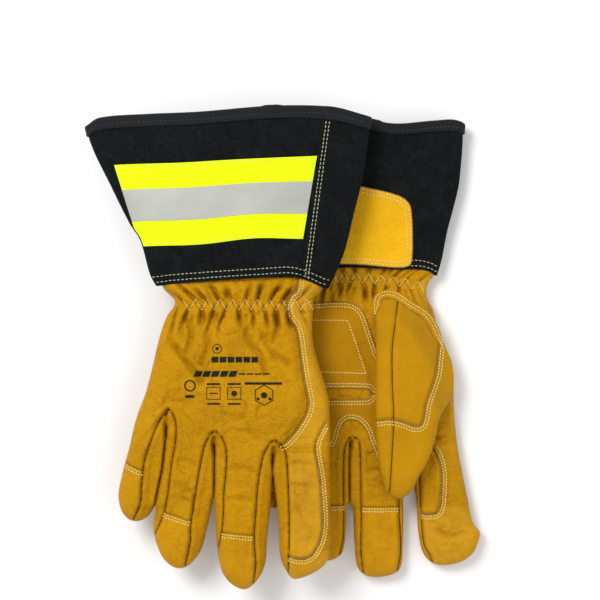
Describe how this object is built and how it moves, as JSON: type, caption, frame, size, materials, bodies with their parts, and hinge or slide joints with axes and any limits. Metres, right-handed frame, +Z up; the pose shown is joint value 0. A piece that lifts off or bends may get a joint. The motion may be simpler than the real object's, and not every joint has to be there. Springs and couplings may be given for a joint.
{
  "type": "lineman work gloves",
  "caption": "Pair of gold leather lineman protector gloves with flared black suede gauntlet cuffs and yellow reflective bands, laid flat, one over the other.",
  "frame": {"origin": "On the surface the gloves lie on, below the middle of the pair", "axes": "+Z up, +Y from the fingertips to the cuffs, +X towards the index fingers"},
  "size_m": [0.2968, 0.3599, 0.0535],
  "materials": {
    "leather_gold": "soft grain leather, gold, lightly creased",
    "leather_patch": "soft grain leather, gold, raw cut edges",
    "leather_wrap": "smooth grain leather, lighter tan gold",
    "suede_black": "black split leather with a short nap",
    "binding_black": "black woven binding tape",
    "tape_yellow": "fluorescent yellow woven tape",
    "tape_silver": "silver retroreflective tape",
    "elastic_white": "woven elastic",
    "lining_knit": "brushed knit lining"
  },
  "bodies": {
    "left_hand": {"left_back_panel": "leather_gold", "left_palm_panel": "leather_gold", "left_side_wrap": "leather_wrap", "left_palm_patch": "leather_patch", "left_knuckle_patch": "leather_patch", "left_wrist_elastic": "elastic_white", "left_lining": "lining_knit", "left_cuff_back": "suede_black", "left_cuff_palm": "suede_black", "left_cuff_binding": "binding_black", "left_cuff_patch": "leather_patch", "left_sight_tape": "tape_yellow", "left_silver_strip": "tape_silver", "left_fourchettes": "leather_gold", "left_ring_tip": "leather_gold", "left_pinky_tip": "leather_gold"},
    "left_thumb": {"left_thumb_front": "leather_gold", "left_thumb_back": "leather_gold", "left_thumb_fourchettes": "leather_gold"},
    "left_index": {"left_index_back": "leather_gold", "left_index_palm": "leather_gold", "left_index_fourchettes": "leather_gold", "left_index_tip": "leather_gold"},
    "left_middle": {"left_middle_back": "leather_gold", "left_middle_palm": "leather_gold", "left_middle_fourchettes": "leather_gold", "left_middle_tip": "leather_gold"},
    "right_hand": {"right_back_panel": "leather_gold", "right_palm_panel": "leather_gold", "right_side_wrap": "leather_wrap", "right_palm_patch": "leather_patch", "right_knuckle_patch": "leather_patch", "right_wrist_elastic": "elastic_white", "right_lining": "lining_knit", "right_thumb_front": "leather_gold", "right_thumb_back": "leather_gold", "right_thumb_fourchettes": "leather_gold"},
    "right_cuff": {"right_cuff_back": "suede_black", "right_cuff_palm": "suede_black", "right_cuff_binding": "binding_black", "right_cuff_patch": "leather_patch", "right_sight_tape": "tape_yellow", "right_silver_strip": "tape_silver"},
    "right_index": {"right_index_back": "leather_gold", "right_index_palm": "leather_gold", "right_index_fourchettes": "leather_gold", "right_index_tip": "leather_gold"},
    "right_middle": {"right_middle_back": "leather_gold", "right_middle_palm": "leather_gold", "right_middle_fourchettes": "leather_gold", "right_middle_tip": "leather_gold"},
    "right_ring": {"right_ring_back": "leather_gold", "right_ring_palm": "leather_gold", "right_ring_fourchettes": "leather_gold", "right_ring_tip": "leather_gold"},
    "right_pinky": {"right_pinky_back": "leather_gold", "right_pinky_palm": "leather_gold", "right_pinky_fourchettes": "leather_gold", "right_pinky_tip": "leather_gold"}
  },
  "joints": [
    {"name": "right_glove_lift", "type": "slide", "parent": "left_hand", "child": "right_hand", "axis": [0, 0, 1], "range_m": [0, 0.12]},
    {"name": "right_index_bend", "type": "hinge", "parent": "right_hand", "child": "right_index", "pos_m": [0.0197, -0.0837, 0.0375], "axis": [-1, 0, 0], "range_deg": [0, 35]},
    {"name": "right_middle_bend", "type": "hinge", "parent": "right_hand", "child": "right_middle", "pos_m": [-0.0263, -0.0837, 0.0375], "axis": [-1, 0, 0], "range_deg": [0, 35]},
    {"name": "right_ring_bend", "type": "hinge", "parent": "right_hand", "child": "right_ring", "pos_m": [-0.06949, -0.08165, 0.0375], "axis": [-0.9964, 0.0848, 0], "range_deg": [0, 35]},
    {"name": "right_pinky_bend", "type": "hinge", "parent": "right_hand", "child": "right_pinky", "pos_m": [-0.1011, -0.06358, 0.0375], "axis": [-0.9917, 0.1288, 0], "range_deg": [0, 35]},
    {"name": "right_cuff_fold", "type": "hinge", "parent": "right_hand", "child": "right_cuff", "pos_m": [-0.0253, 0.0453, 0.0375], "axis": [1, 0, 0], "range_deg": [0, 28]},
    {"name": "left_index_curl", "type": "hinge", "parent": "left_hand", "child": "left_index", "pos_m": [0.12663, -0.11398, 0.008], "axis": [-0.9936, -0.1127, 0], "range_deg": [0, 60]},
    {"name": "left_middle_curl", "type": "hinge", "parent": "left_hand", "child": "left_middle", "pos_m": [0.078, -0.1183, 0.008], "axis": [-1, 0, 0], "range_deg": [0, 60]},
    {"name": "left_thumb_lift", "type": "hinge", "parent": "left_hand", "child": "left_thumb", "pos_m": [0.09956, -0.00634, 0.0226], "axis": [-0.6626, 0.749, 0], "range_deg": [0, 60]}
  ]
}
